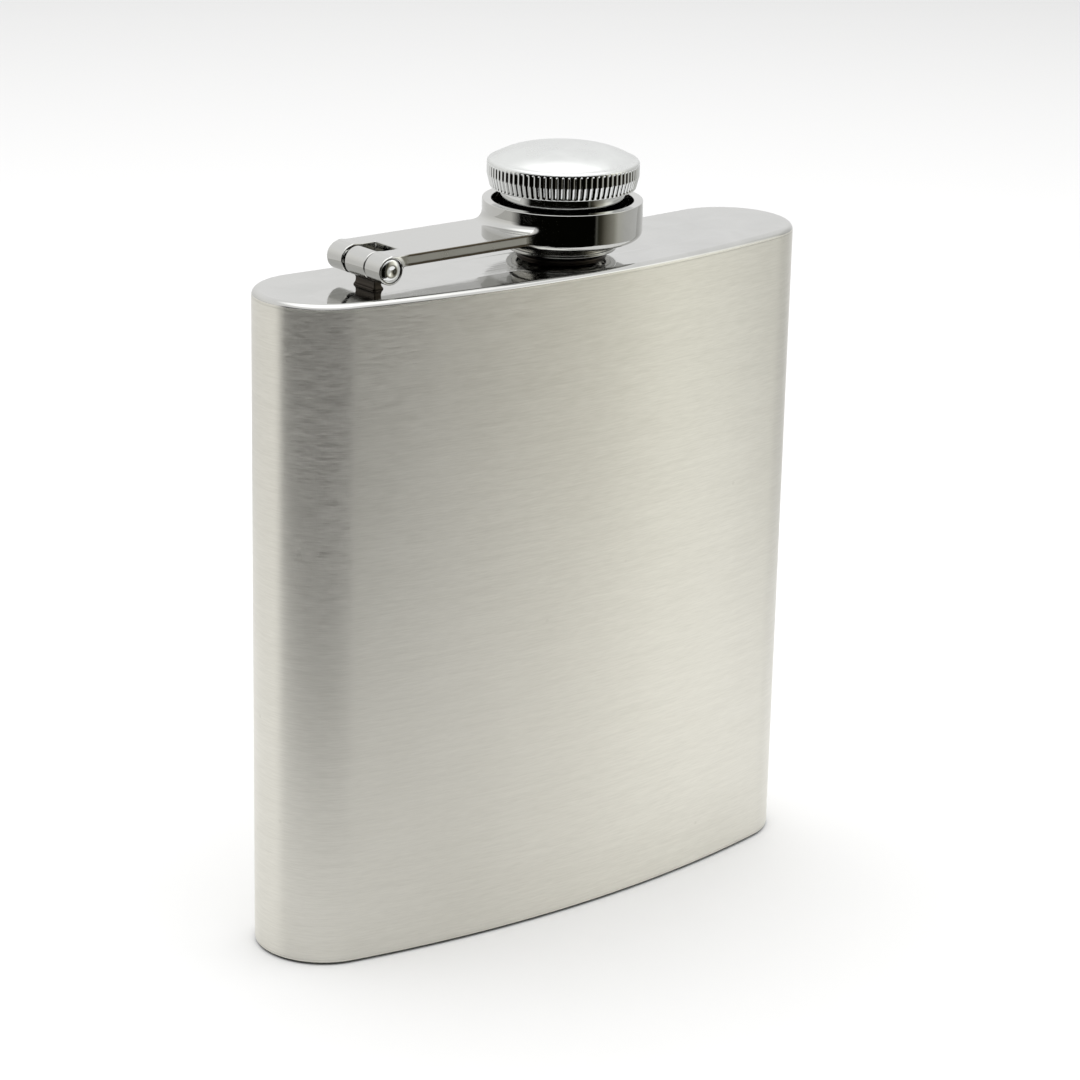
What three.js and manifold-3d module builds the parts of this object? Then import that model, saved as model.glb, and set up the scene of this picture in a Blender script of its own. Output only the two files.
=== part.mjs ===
// Curved steel hip flask with a captive screw cap on a hinged arm.
// Millimetres, +Z up. The origin is on the underside of the base, below the
// middle of the body; -Y is the convex front and +Y the hollow back.
import * as THREE from "three";
import { mergeVertices } from "three/addons/utils/BufferGeometryUtils.js";
import Module from "manifold-3d";

const wasm = await Module();
wasm.setup();

// Body
const BODY_WIDTH = 92;
const BODY_HEIGHT = 95.5;
const BODY_THICKNESS = 22.5; // at the middle
const FRONT_RADIUS = 181;
const BACK_RADIUS = 655;
const FRONT_CORNER_RADIUS = 10.0;
const BACK_CORNER_RADIUS = 9.6;
const WALL = 0.6;
const EDGE_ROUNDING = 0.45;
const PLATE_THICKNESS = 0.8;
const SEAT_CLEARANCE = 0.03; // between a plate's edge and the wall around it

// Heights above the top plate are measured from BODY_HEIGHT.
// Neck
const CAP_X = 2.8;
const NECK_BORE_RADIUS = 4.4;
const NECK_RADIUS = 5.0;
const NECK_HEIGHT = 7.4;
const NECK_FLANGE_RADIUS = 6.6;
const NECK_FLANGE_HEIGHT = 0.5;
const THREAD_PITCH = 1.6;
const THREAD_TURNS = 2.5;
const NECK_THREAD_DEPTH = 0.45;

// Hinge
const PIN_X = -31.4;
const PIN_HEIGHT = 3.3;
const PIN_RADIUS = 1.0;
const PIN_CLEARANCE = 0.05;
const PIN_HEAD_RADIUS = 1.6;
const PIN_HEAD_THICKNESS = 0.4;
const PIN_HEAD_CROWN = 0.25;
const HEAD_RECESS_CLEARANCE = 0.1;
const KNUCKLE_RADIUS = 1.95;
const BRACKET_FRONT_Y = -2.45;
const BRACKET_BACK_Y = 1.9;
const LEG_X = -30.95;
const LEG_THICKNESS = 1.2;
const WELD_WIDTH = 0.3;
const WELD_HEIGHT = 0.3;

// Arm
const ARM_WIDTH = 12.2;
const STRAP_THICKNESS = 1.65;
const SLOT_HALF_WIDTH = 2.6;
const SLOT_END_X = -27.7;
const COLLAR_RADIUS = 11.3;
const COLLAR_INNER_RADIUS = 10.0;
const COLLAR_BOTTOM = 2.65;
const COLLAR_TOP = 7.95;
const COLLAR_FLOOR = 1.2;
const COLLAR_FOOT_ROUNDING = 1.1;
const COLLAR_HOLE_RADIUS = 7.25;

// Cap
const BARREL_RADIUS = 8.8;
const BARREL_BORE_RADIUS = 8.1;
const HEAD_RADIUS = 10.7;
const HEAD_BOTTOM = 9.65;
const HEAD_EDGE = 13.15;
const HEAD_EDGE_ROUNDING = 0.5;
const CAP_TOP = 15.5;
const SHELL_CAVITY_TOP = 13.2;
const KNURL_COUNT = 78;
const KNURL_DEPTH = 0.35;
const INSERT_RADIUS = 8.05;
const SLEEVE_RADIUS = 6.95;
const SLEEVE_BOTTOM = 0.95;
const INSERT_BORE_RADIUS = 6.4;
const INSERT_THREAD_DEPTH = 0.38;
const RING_RADIUS = 7.75;
const RING_BOTTOM = 1.0;
const RING_THICKNESS = 0.5;
const GASKET_BOTTOM = 7.85;
const GASKET_THICKNESS = 1.3;
const GASKET_RADIUS = 5.9;
const CAP_FLOOR_GAP = 0.3; // between the cap's barrel and the collar's floor

const ROUND_SEGMENTS = 48;
const FACE_SEGMENTS = 24; // along the front or back of the body
const CORNER_SEGMENTS = 10;
const HELIX_STEPS_PER_TURN = 24;
const OVERCUT = 1; // how far a cutting tool passes the surface that it cuts

// --- joining and cutting -------------------------------------------------

function toSolid(geometry) {
  const bare = geometry.index ? geometry.toNonIndexed() : geometry.clone();
  bare.deleteAttribute("normal");
  bare.deleteAttribute("uv");
  const merged = mergeVertices(bare, 1e-4);
  return new wasm.Manifold(
    new wasm.Mesh({
      numProp: 3,
      vertProperties: merged.attributes.position.array,
      triVerts: new Uint32Array(merged.index.array),
    }),
  );
}

function toGeometry(solid) {
  const mesh = solid.getMesh();
  const geometry = new THREE.BufferGeometry();
  geometry.setAttribute(
    "position",
    new THREE.BufferAttribute(mesh.vertProperties, 3),
  );
  geometry.setIndex(new THREE.BufferAttribute(mesh.triVerts, 1));
  return geometry.toNonIndexed();
}

// --- shapes that several pieces share ------------------------------------

// Points of an arc, its last one left out so that arcs can follow each other.
function arc(x, y, radius, from, to, segments) {
  const points = [];
  for (let i = 0; i < segments; i++) {
    const angle = from + ((to - from) * i) / segments;
    points.push(
      new THREE.Vector2(
        x + radius * Math.cos(angle),
        y + radius * Math.sin(angle),
      ),
    );
  }
  return points;
}

// The body's plan, offset inwards by inset: a shallow convex front and a
// shallow hollow back, joined by full round ends.
function bodyShape(inset) {
  const half = BODY_WIDTH / 2;
  const frontY = -BODY_THICKNESS / 2 + FRONT_RADIUS;
  const backY = BODY_THICKNESS / 2 + BACK_RADIUS;
  const frontCornerX = half - FRONT_CORNER_RADIUS;
  const backCornerX = half - BACK_CORNER_RADIUS;
  const frontReach = FRONT_RADIUS - FRONT_CORNER_RADIUS;
  const backReach = BACK_RADIUS + BACK_CORNER_RADIUS;
  const frontAngle = Math.acos(frontCornerX / frontReach);
  const backAngle = Math.acos(backCornerX / backReach);
  const frontCornerY = frontY - frontReach * Math.sin(frontAngle);
  const backCornerY = backY - backReach * Math.sin(backAngle);
  const frontRound = FRONT_CORNER_RADIUS - inset;
  const backRound = BACK_CORNER_RADIUS - inset;
  return new THREE.Shape([
    ...arc(0, frontY, FRONT_RADIUS - inset, frontAngle - Math.PI, -frontAngle, FACE_SEGMENTS),
    ...arc(frontCornerX, frontCornerY, frontRound, -frontAngle, 0, CORNER_SEGMENTS),
    ...arc(backCornerX, backCornerY, backRound, 0, Math.PI - backAngle, CORNER_SEGMENTS),
    ...arc(0, backY, BACK_RADIUS + inset, -backAngle, backAngle - Math.PI, FACE_SEGMENTS),
    ...arc(-backCornerX, backCornerY, backRound, backAngle, Math.PI, CORNER_SEGMENTS),
    ...arc(-frontCornerX, frontCornerY, frontRound, Math.PI, Math.PI + frontAngle, CORNER_SEGMENTS),
  ]);
}

function prism(shape, bottom, top) {
  const geometry = new THREE.ExtrudeGeometry(shape, {
    depth: top - bottom,
    bevelEnabled: false,
  });
  return toSolid(geometry.translate(0, 0, bottom));
}

function block(x0, x1, y0, y1, z0, z1) {
  const geometry = new THREE.BoxGeometry(x1 - x0, y1 - y0, z1 - z0);
  return toSolid(
    geometry.translate((x0 + x1) / 2, (y0 + y1) / 2, (z0 + z1) / 2),
  );
}

// A turned solid about the vertical axis at x. Its profile is a closed loop of
// [radius, height above the top plate], anticlockwise in that plane.
function turned(profile, x = CAP_X, segments = ROUND_SEGMENTS) {
  const points = profile.map(([r, z]) => new THREE.Vector2(r, z));
  const onAxis = profile[0][0] === 0;
  if (!onAxis) points.push(points[0].clone());
  const geometry = new THREE.LatheGeometry(points, segments);
  geometry.rotateX(Math.PI / 2);
  return toSolid(geometry.translate(x, 0, BODY_HEIGHT));
}

// A round bar or hole along Y on the hinge's axis.
function hingeCylinder(radius, y0, y1, segments = 28) {
  const geometry = new THREE.CylinderGeometry(radius, radius, y1 - y0, segments);
  return toSolid(
    geometry.translate(PIN_X, (y0 + y1) / 2, BODY_HEIGHT + PIN_HEIGHT),
  );
}

class Helix extends THREE.Curve {
  constructor(radius, bottom, turns) {
    super();
    this.radius = radius;
    this.bottom = bottom;
    this.turns = turns;
  }

  getPoint(t, target = new THREE.Vector3()) {
    const angle = 2 * Math.PI * this.turns * t;
    return target.set(
      CAP_X + this.radius * Math.cos(angle),
      this.radius * Math.sin(angle),
      BODY_HEIGHT + this.bottom + THREAD_PITCH * this.turns * t,
    );
  }
}

// A round-crested thread ridge, half sunk in the wall at wallRadius.
function threadRidge(wallRadius, depth, bottom) {
  const section = new THREE.Shape(arc(0, 0, depth, 0, 2 * Math.PI, 6));
  return toSolid(
    new THREE.ExtrudeGeometry(section, {
      steps: HELIX_STEPS_PER_TURN * THREAD_TURNS,
      bevelEnabled: false,
      extrudePath: new Helix(wallRadius, bottom, THREAD_TURNS),
    }),
  );
}

// Quarter-round from one end to the other, both ends included.
function rounding(r, z, radius, from, to, steps) {
  const points = [];
  for (let i = 0; i <= steps; i++) {
    const angle = from + ((to - from) * i) / steps;
    points.push([r + radius * Math.cos(angle), z + radius * Math.sin(angle)]);
  }
  return points;
}

// --- pieces of the flask -------------------------------------------------

// One sheet wrapped into a tube, with softened rims.
function bodyWrap() {
  const outside = new THREE.ExtrudeGeometry(bodyShape(0), {
    depth: BODY_HEIGHT - 2 * EDGE_ROUNDING,
    bevelThickness: EDGE_ROUNDING,
    bevelSize: EDGE_ROUNDING,
    bevelOffset: -EDGE_ROUNDING,
    bevelSegments: 2,
  });
  const inside = prism(bodyShape(WALL), -OVERCUT, BODY_HEIGHT + OVERCUT);
  return toSolid(outside.translate(0, 0, EDGE_ROUNDING)).subtract(inside);
}

function topPlate() {
  const shape = bodyShape(WALL + SEAT_CLEARANCE);
  const mouth = new THREE.Path(
    arc(CAP_X, 0, NECK_BORE_RADIUS, 0, 2 * Math.PI, ROUND_SEGMENTS),
  );
  shape.holes.push(mouth);
  return prism(shape, BODY_HEIGHT - PLATE_THICKNESS, BODY_HEIGHT);
}

function bottomPlate() {
  return prism(bodyShape(WALL + SEAT_CLEARANCE), 0, PLATE_THICKNESS);
}

function neck() {
  const rimChamfer = 0.2;
  const tube = turned([
    [NECK_BORE_RADIUS, 0],
    [NECK_FLANGE_RADIUS, 0],
    [NECK_RADIUS, NECK_FLANGE_HEIGHT],
    [NECK_RADIUS, NECK_HEIGHT - rimChamfer],
    [NECK_RADIUS - rimChamfer, NECK_HEIGHT],
    [NECK_BORE_RADIUS, NECK_HEIGHT],
  ]);
  const firstTurn = 1.8;
  return tube.add(threadRidge(NECK_RADIUS, NECK_THREAD_DEPTH, firstTurn));
}

// The middle knuckle on a straight leg, welded to the top plate.
function hingeBracket() {
  const foot = BODY_HEIGHT;
  const halfLeg = LEG_THICKNESS / 2;
  const knuckle = hingeCylinder(KNUCKLE_RADIUS, BRACKET_FRONT_Y, BRACKET_BACK_Y);
  const leg = block(
    LEG_X - halfLeg,
    LEG_X + halfLeg,
    BRACKET_FRONT_Y,
    BRACKET_BACK_Y,
    foot,
    foot + PIN_HEIGHT,
  );
  const weld = block(
    LEG_X - halfLeg - WELD_WIDTH,
    LEG_X + halfLeg + WELD_WIDTH,
    BRACKET_FRONT_Y,
    BRACKET_BACK_Y,
    foot,
    foot + WELD_HEIGHT,
  );
  const hole = hingeCylinder(PIN_RADIUS + PIN_CLEARANCE, -ARM_WIDTH, ARM_WIDTH);
  return knuckle.add(leg).add(weld).subtract(hole);
}

// A shaft through the three knuckles with a low domed head at each end.
function hingePin() {
  const headFace = ARM_WIDTH / 2 - 0.05;
  const seat = headFace - PIN_HEAD_THICKNESS;
  const half = [
    [PIN_HEAD_RADIUS, seat],
    [PIN_HEAD_RADIUS, headFace],
    [PIN_HEAD_RADIUS * 0.6, headFace + PIN_HEAD_CROWN * 0.75],
    [0, headFace + PIN_HEAD_CROWN],
  ];
  const mirrored = half.map(([r, y]) => [r, -y]).reverse();
  const profile = [...mirrored, [PIN_RADIUS, -seat], [PIN_RADIUS, seat], ...half];
  const points = profile.map(([r, y]) => new THREE.Vector2(r, y));
  const geometry = new THREE.LatheGeometry(points, 24);
  return toSolid(geometry.translate(PIN_X, 0, BODY_HEIGHT + PIN_HEIGHT));
}

// --- arm and cap ---------------------------------------------------------

// The cup that holds the cap: a wall and a floor with a round hole.
function collar() {
  const floorTop = COLLAR_BOTTOM + COLLAR_FLOOR;
  const footRadius = COLLAR_RADIUS - COLLAR_FOOT_ROUNDING;
  const footHeight = COLLAR_BOTTOM + COLLAR_FOOT_ROUNDING;
  const rimRounding = 0.15;
  return turned(
    [
      [COLLAR_HOLE_RADIUS, COLLAR_BOTTOM],
      ...rounding(footRadius, footHeight, COLLAR_FOOT_ROUNDING, -Math.PI / 2, 0, 3),
      [COLLAR_RADIUS, COLLAR_TOP - rimRounding],
      [COLLAR_RADIUS - rimRounding, COLLAR_TOP],
      [COLLAR_INNER_RADIUS, COLLAR_TOP],
      [COLLAR_INNER_RADIUS, floorTop],
      [COLLAR_HOLE_RADIUS, floorTop],
    ],
    CAP_X,
    60,
  );
}

// Two knuckles, the flat strap and the collar, pressed from one piece.
function capArm() {
  const half = ARM_WIDTH / 2;
  const strapTop = BODY_HEIGHT + PIN_HEIGHT + KNUCKLE_RADIUS;
  const floorTop = COLLAR_BOTTOM + COLLAR_FLOOR;
  const strapEnd = CAP_X - COLLAR_INNER_RADIUS + OVERCUT;
  const strap = block(
    PIN_X,
    strapEnd,
    -half,
    half,
    strapTop - STRAP_THICKNESS,
    strapTop,
  );
  const cup = turned([
    [0, floorTop],
    [COLLAR_INNER_RADIUS, floorTop],
    [COLLAR_INNER_RADIUS, COLLAR_TOP + OVERCUT],
    [0, COLLAR_TOP + OVERCUT],
  ], CAP_X, 60);
  const knuckles = hingeCylinder(KNUCKLE_RADIUS, -half, half);
  const slot = block(
    PIN_X - KNUCKLE_RADIUS - OVERCUT,
    SLOT_END_X,
    -SLOT_HALF_WIDTH,
    SLOT_HALF_WIDTH,
    BODY_HEIGHT,
    strapTop + OVERCUT,
  );
  const pinHole = hingeCylinder(PIN_RADIUS + PIN_CLEARANCE, -ARM_WIDTH, ARM_WIDTH);
  const recess = PIN_HEAD_RADIUS + HEAD_RECESS_CLEARANCE;
  const recessFloor = half - PIN_HEAD_THICKNESS - HEAD_RECESS_CLEARANCE;
  let arm = strap.add(knuckles).subtract(slot).subtract(pinHole);
  for (const side of [-1, 1]) {
    const ends = [side * recessFloor, side * (half + OVERCUT)].sort((a, b) => a - b);
    arm = arm.subtract(hingeCylinder(recess, ...ends));
  }
  return arm.add(collar()).subtract(cup);
}

// The plan of the knurled head: one straight-sided tooth for each ridge.
function knurlShape() {
  const points = [];
  for (let i = 0; i < 2 * KNURL_COUNT; i++) {
    const angle = (Math.PI * i) / KNURL_COUNT;
    const radius = i % 2 ? HEAD_RADIUS - KNURL_DEPTH : HEAD_RADIUS;
    points.push(
      new THREE.Vector2(
        CAP_X + radius * Math.cos(angle),
        radius * Math.sin(angle),
      ),
    );
  }
  return new THREE.Shape(points);
}

function capShell() {
  const barrelBottom = COLLAR_BOTTOM + COLLAR_FLOOR + CAP_FLOOR_GAP;
  const uncutRadius = HEAD_RADIUS + 0.1;
  const edgeRadius = HEAD_RADIUS - HEAD_EDGE_ROUNDING - KNURL_DEPTH;
  const domeRise = CAP_TOP - HEAD_EDGE - HEAD_EDGE_ROUNDING;
  const dome = [0.75, 0.5, 0.25].map((part) => [
    edgeRadius * part,
    HEAD_EDGE + HEAD_EDGE_ROUNDING + domeRise * (1 - part * part),
  ]);
  const shell = turned([
    [0, SHELL_CAVITY_TOP],
    [BARREL_BORE_RADIUS, SHELL_CAVITY_TOP],
    [BARREL_BORE_RADIUS, barrelBottom],
    [BARREL_RADIUS, barrelBottom],
    [BARREL_RADIUS, HEAD_BOTTOM],
    [uncutRadius, HEAD_BOTTOM],
    [uncutRadius, HEAD_EDGE - HEAD_EDGE_ROUNDING / 2],
    [HEAD_RADIUS - KNURL_DEPTH, HEAD_EDGE],
    [edgeRadius, HEAD_EDGE + HEAD_EDGE_ROUNDING],
    ...dome,
    [0, CAP_TOP],
  ], CAP_X, 60);
  const knurl = prism(
    knurlShape(),
    BODY_HEIGHT,
    BODY_HEIGHT + CAP_TOP + OVERCUT,
  );
  return shell.intersect(knurl);
}

// The threaded body pressed into the shell, with a sleeve through the collar.
function capInsert() {
  const shoulder = COLLAR_BOTTOM + COLLAR_FLOOR + CAP_FLOOR_GAP;
  const top = SHELL_CAVITY_TOP - SEAT_CLEARANCE;
  const boreTop = GASKET_BOTTOM + GASKET_THICKNESS + SEAT_CLEARANCE;
  const body = turned([
    [0, boreTop],
    [INSERT_BORE_RADIUS, boreTop],
    [INSERT_BORE_RADIUS, SLEEVE_BOTTOM],
    [SLEEVE_RADIUS, SLEEVE_BOTTOM],
    [SLEEVE_RADIUS, shoulder],
    [INSERT_RADIUS, shoulder],
    [INSERT_RADIUS, top],
    [0, top],
  ]);
  const firstTurn = 2.4;
  return body.add(
    threadRidge(INSERT_BORE_RADIUS, INSERT_THREAD_DEPTH, firstTurn),
  );
}

// The ring on the end of the sleeve that keeps the cap in the collar.
function capRetainingRing() {
  const bore = SLEEVE_RADIUS + SEAT_CLEARANCE;
  return turned([
    [bore, RING_BOTTOM],
    [RING_RADIUS, RING_BOTTOM],
    [RING_RADIUS, RING_BOTTOM + RING_THICKNESS],
    [bore, RING_BOTTOM + RING_THICKNESS],
  ]);
}

function capGasket() {
  return turned([
    [0, GASKET_BOTTOM],
    [GASKET_RADIUS, GASKET_BOTTOM],
    [GASKET_RADIUS, GASKET_BOTTOM + GASKET_THICKNESS],
    [0, GASKET_BOTTOM + GASKET_THICKNESS],
  ]);
}

// --- materials and assembly ----------------------------------------------

const steel = (color, roughness) =>
  new THREE.MeshStandardMaterial({ color, roughness, metalness: 1 });

const brushedSteel = steel(0xb9b7af, 0.4);
const polishedSteel = steel(0xd4d3cd, 0.12);
const chrome = steel(0xdedfdd, 0.06);
const turnedSteel = steel(0xb4b1a8, 0.28);
const rubber = new THREE.MeshStandardMaterial({
  color: 0xd8d6cf,
  roughness: 0.6,
  metalness: 0,
});

const pieces = [
  ["body_wrap", bodyWrap(), brushedSteel],
  ["top_plate", topPlate(), polishedSteel],
  ["bottom_plate", bottomPlate(), brushedSteel],
  ["neck", neck(), turnedSteel],
  ["hinge_bracket", hingeBracket(), polishedSteel],
  ["hinge_pin", hingePin(), chrome],
  ["cap_arm", capArm(), polishedSteel],
  ["cap_shell", capShell(), chrome],
  ["cap_insert", capInsert(), turnedSteel],
  ["cap_retaining_ring", capRetainingRing(), polishedSteel],
  ["cap_gasket", capGasket(), rubber],
];

const hipFlask = new THREE.Group();
for (const [name, solid, material] of pieces) {
  const mesh = new THREE.Mesh(toGeometry(solid), material);
  mesh.name = name;
  hipFlask.add(mesh);
}

export default hipFlask;
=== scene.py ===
"""A curved steel hip flask with a captive screw cap, in a white studio."""

import math

import bmesh
import bpy
import numpy as np
from mathutils import Matrix, Vector
from mathutils.geometry import tessellate_polygon


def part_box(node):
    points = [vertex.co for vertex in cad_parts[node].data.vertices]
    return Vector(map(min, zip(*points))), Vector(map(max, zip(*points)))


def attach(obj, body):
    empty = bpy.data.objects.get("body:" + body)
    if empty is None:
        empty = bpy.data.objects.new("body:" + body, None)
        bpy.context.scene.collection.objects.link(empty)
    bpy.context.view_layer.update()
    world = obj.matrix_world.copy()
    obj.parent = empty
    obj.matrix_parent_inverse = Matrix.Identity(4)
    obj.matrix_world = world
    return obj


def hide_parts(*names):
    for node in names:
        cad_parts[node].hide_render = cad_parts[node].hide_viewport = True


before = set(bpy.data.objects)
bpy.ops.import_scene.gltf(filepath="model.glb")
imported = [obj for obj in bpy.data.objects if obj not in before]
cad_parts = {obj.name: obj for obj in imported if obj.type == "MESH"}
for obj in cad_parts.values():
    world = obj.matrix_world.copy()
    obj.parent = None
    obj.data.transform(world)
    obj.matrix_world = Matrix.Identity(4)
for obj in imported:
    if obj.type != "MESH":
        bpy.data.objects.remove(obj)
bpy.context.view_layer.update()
MM = 0.001

# --- sizes, in metres ----------------------------------------------------

# Body
FRONT_RADIUS = 181 * MM
BACK_RADIUS = 655 * MM
FRONT_CORNER = 10.0 * MM
BACK_CORNER = 9.6 * MM
WALL = 0.6 * MM
SHOULDER = 0.95 * MM  # rounding of the top plate's rim
FOOT = 0.75 * MM  # rounding of the base
HAIRLINE = 0.02 * MM  # gap at the seams between wrap and plates
PLATE_THICKNESS = 0.8 * MM
BRUSHED_LIP = 0.25 * MM  # height of the rim that is brushed with the body
PAINTED_SHADE_LINE = 0.4 * MM  # height of the dark line of painted contact shade along the base

body_low, body_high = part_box("body_wrap")
HALF_WIDTH = body_high.x
FRONT_Y = body_low.y
BACK_Y = FRONT_Y + 22.5 * MM
TOP = body_high.z

# Neck, hinge and cap, read from the CAD
neck_low, neck_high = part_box("neck")
pin_low, pin_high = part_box("hinge_pin")
bracket_low, bracket_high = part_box("hinge_bracket")
arm_low, arm_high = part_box("cap_arm")
shell_low, shell_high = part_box("cap_shell")
insert_low, insert_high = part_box("cap_insert")
ring_low, ring_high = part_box("cap_retaining_ring")
gasket_low, gasket_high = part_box("cap_gasket")

CAP_X = (neck_low.x + neck_high.x) / 2
NECK_BORE = 4.4 * MM
NECK_ROOT = 4.95 * MM
NECK_CREST = 5.4 * MM
NECK_FLANGE = 6.4 * MM
THREAD_PITCH = 1.6 * MM

# Hinge and arm
PIN_X = (pin_low.x + pin_high.x) / 2
PIN_Z = (pin_low.z + pin_high.z) / 2
PIN_RADIUS = 1.0 * MM
PIN_HEAD = 1.6 * MM
PIN_RECESS = 1.72 * MM
KNUCKLE = 1.95 * MM
LEG_X = -30.95 * MM
LEG_THICKNESS = 1.2 * MM
WELD_WIDTH = 0.3 * MM
STRAP_THICKNESS = 1.65 * MM
STRAP_HALF = 6.1 * MM
SLOT_HALF = 2.6 * MM
SLOT_END = -27.7 * MM
STRAP_TOP = PIN_Z + KNUCKLE
COLLAR_RADIUS = arm_high.x - CAP_X
COLLAR_INNER = 10.0 * MM
COLLAR_HOLE = 7.25 * MM
COLLAR_FLOOR = 1.2 * MM
COLLAR_FOOT = 1.1 * MM  # rounding of the collar's lower edge
COLLAR_BOTTOM = TOP + 2.65 * MM
COLLAR_TOP = arm_high.z

# Cap
BARREL = 8.8 * MM
BARREL_BORE = 8.1 * MM
HEAD_BOTTOM = TOP + 9.65 * MM
HEAD_EDGE = TOP + 13.15 * MM
HEAD_RADIUS = shell_high.x - CAP_X
HEAD_TAPER = 0.46 * MM  # how much the head narrows at its bottom
KNURL_COUNT = 78
KNURL_DEPTH = 0.38 * MM
CROWN_POWER = 3.3  # 2 is a round crown, more is flatter with a tighter edge
INSERT_BORE = 6.35 * MM
INSERT_CREST = 6.0 * MM
SLEEVE = 6.95 * MM

ROUND = 192  # segments of a turned piece
HOLE_SEGMENTS = 96
OPENING = math.radians(-131)  # the way the studio's dark side lies

# Colours that several finishes share
POLISHED = (0.54, 0.54, 0.525)
PAPER = (0.83, 0.83, 0.83)


# --- mesh helpers --------------------------------------------------------


def make_object(name, vertices, faces, normals=None):
    mesh = bpy.data.meshes.new(name)
    mesh.from_pydata([tuple(v) for v in vertices], [], [tuple(f) for f in faces])
    work = bmesh.new()
    work.from_mesh(mesh)
    bmesh.ops.recalc_face_normals(work, faces=work.faces)
    work.to_mesh(mesh)
    work.free()
    mesh.shade_smooth()
    if normals is not None:
        mesh.normals_split_custom_set_from_vertices([tuple(n) for n in normals])
    piece = bpy.data.objects.new(name, mesh)
    bpy.context.scene.collection.objects.link(piece)
    return piece


def weigh_normals(piece):
    """Keeps flats flat beside their rounded edges."""
    modifier = piece.modifiers.new("weighted_normals", "WEIGHTED_NORMAL")
    modifier.mode = "FACE_AREA"
    modifier.weight = 80


def rounded(corners, closed=True, step=math.radians(9)):
    """A profile from (across, up, rounding) corners, each turned into an arc."""
    points = []
    count = len(corners)
    for i, (across, up, radius) in enumerate(corners):
        here = Vector((across, up))
        if radius <= 0 or (not closed and i in (0, count - 1)):
            points.append(here)
            continue
        before = Vector(corners[i - 1][:2]) - here
        after = Vector(corners[(i + 1) % count][:2]) - here
        before.normalize()
        after.normalize()
        opening = before.angle(after)
        reach = radius / math.tan(opening / 2)
        centre = here + (before + after).normalized() * radius / math.sin(opening / 2)
        start = here + before * reach - centre
        turn = (here + after * reach - centre).angle_signed(start)
        steps = max(2, math.ceil(abs(turn) / step))
        for k in range(steps + 1):
            angle = turn * k / steps
            points.append(centre + Matrix.Rotation(angle, 2) @ start)
    return points


def rings_to_faces(ring_count, ring_size, closed):
    """Quads between rings of points, stored one after another."""
    faces = []
    last = ring_count if closed else ring_count - 1
    for i in range(last):
        low = i * ring_size
        high = (i + 1) % ring_count * ring_size
        for j in range(ring_size):
            k = (j + 1) % ring_size
            faces.append((low + j, low + k, high + k, high + j))
    return faces


def turned(name, profile, segments=ROUND, x=CAP_X, shape=None):
    """A turned piece about the vertical axis at x.

    The profile is a closed loop of (radius, height), or one that starts and
    ends on the axis. shape(angle, radius, height) may move a point.
    """
    on_axis = profile[0][0] < 1e-9
    inner = profile[1:-1] if on_axis else profile
    vertices = []
    for radius, height in inner:
        for j in range(segments):
            angle = 2 * math.pi * j / segments
            r, z = (radius, height) if shape is None else shape(angle, radius, height)
            vertices.append((x + r * math.cos(angle), r * math.sin(angle), z))
    faces = rings_to_faces(len(inner), segments, closed=not on_axis)
    if on_axis:
        first_pole, last_pole = len(vertices), len(vertices) + 1
        vertices.append((x, 0, profile[0][1]))
        vertices.append((x, 0, profile[-1][1]))
        last_ring = (len(inner) - 1) * segments
        for j in range(segments):
            k = (j + 1) % segments
            faces.append((first_pole, k, j))
            faces.append((last_pole, last_ring + j, last_ring + k))
    return make_object(name, vertices, faces)


def threaded(name, root, crest, low, high, other, segments=96, rows_per_pitch=14):
    """A tube with a helical ridge on one wall and a plain wall at radius other."""
    rows = round((high - low) / THREAD_PITCH * rows_per_pitch)
    vertices = []
    fade = 0.5 * THREAD_PITCH
    steepness = 1.35
    fullness = 0.8
    for i in range(rows + 1):
        z = low + (high - low) * i / rows
        ends = min(1.0, (z - low) / fade, (high - z) / fade)
        for j in range(segments):
            turn = j / segments
            phase = ((z - low) / THREAD_PITCH - turn) % 1.0
            ridge = max(0.0, 1 - abs(2 * phase - 1) * steepness) ** fullness
            r = root + (crest - root) * ridge * max(0.0, ends)
            angle = 2 * math.pi * turn
            vertices.append((CAP_X + r * math.cos(angle), r * math.sin(angle), z))
    for z in (high, low):
        for j in range(segments):
            angle = 2 * math.pi * j / segments
            vertices.append((CAP_X + other * math.cos(angle), other * math.sin(angle), z))
    faces = rings_to_faces(rows + 3, segments, closed=True)
    return make_object(name, vertices, faces)


def join(name, *pieces):
    """One object from several, with all their modifiers applied."""
    depsgraph = bpy.context.evaluated_depsgraph_get()
    work = bmesh.new()
    for piece in pieces:
        work.from_object(piece, depsgraph)
    mesh = bpy.data.meshes.new(name)
    work.to_mesh(mesh)
    work.free()
    mesh.shade_smooth()
    for piece in pieces:
        bpy.data.objects.remove(piece)
    joined = bpy.data.objects.new(name, mesh)
    bpy.context.scene.collection.objects.link(joined)
    return joined


# --- solids from distance fields -----------------------------------------


def rounded_box(x, y, z, low, high, edge):
    """Distance to a box with rounded edges."""
    centre = [(a + b) / 2 for a, b in zip(low, high)]
    half = [(b - a) / 2 - edge for a, b in zip(low, high)]
    qx = np.abs(x - centre[0]) - half[0]
    qy = np.abs(y - centre[1]) - half[1]
    qz = np.abs(z - centre[2]) - half[2]
    outside = np.sqrt(
        np.maximum(qx, 0) ** 2 + np.maximum(qy, 0) ** 2 + np.maximum(qz, 0) ** 2
    )
    inside = np.minimum(np.maximum(np.maximum(qx, qy), qz), 0)
    return outside + inside - edge


def hinge_bar(x, y, z, radius, y0, y1, edge):
    """Distance to a rounded bar along the hinge's axis."""
    across = np.hypot(x - PIN_X, z - PIN_Z) - radius + edge
    along = np.abs(y - (y0 + y1) / 2) - (y1 - y0) / 2 + edge
    outside = np.hypot(np.maximum(across, 0), np.maximum(along, 0))
    return outside + np.minimum(np.maximum(across, along), 0) - edge


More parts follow.
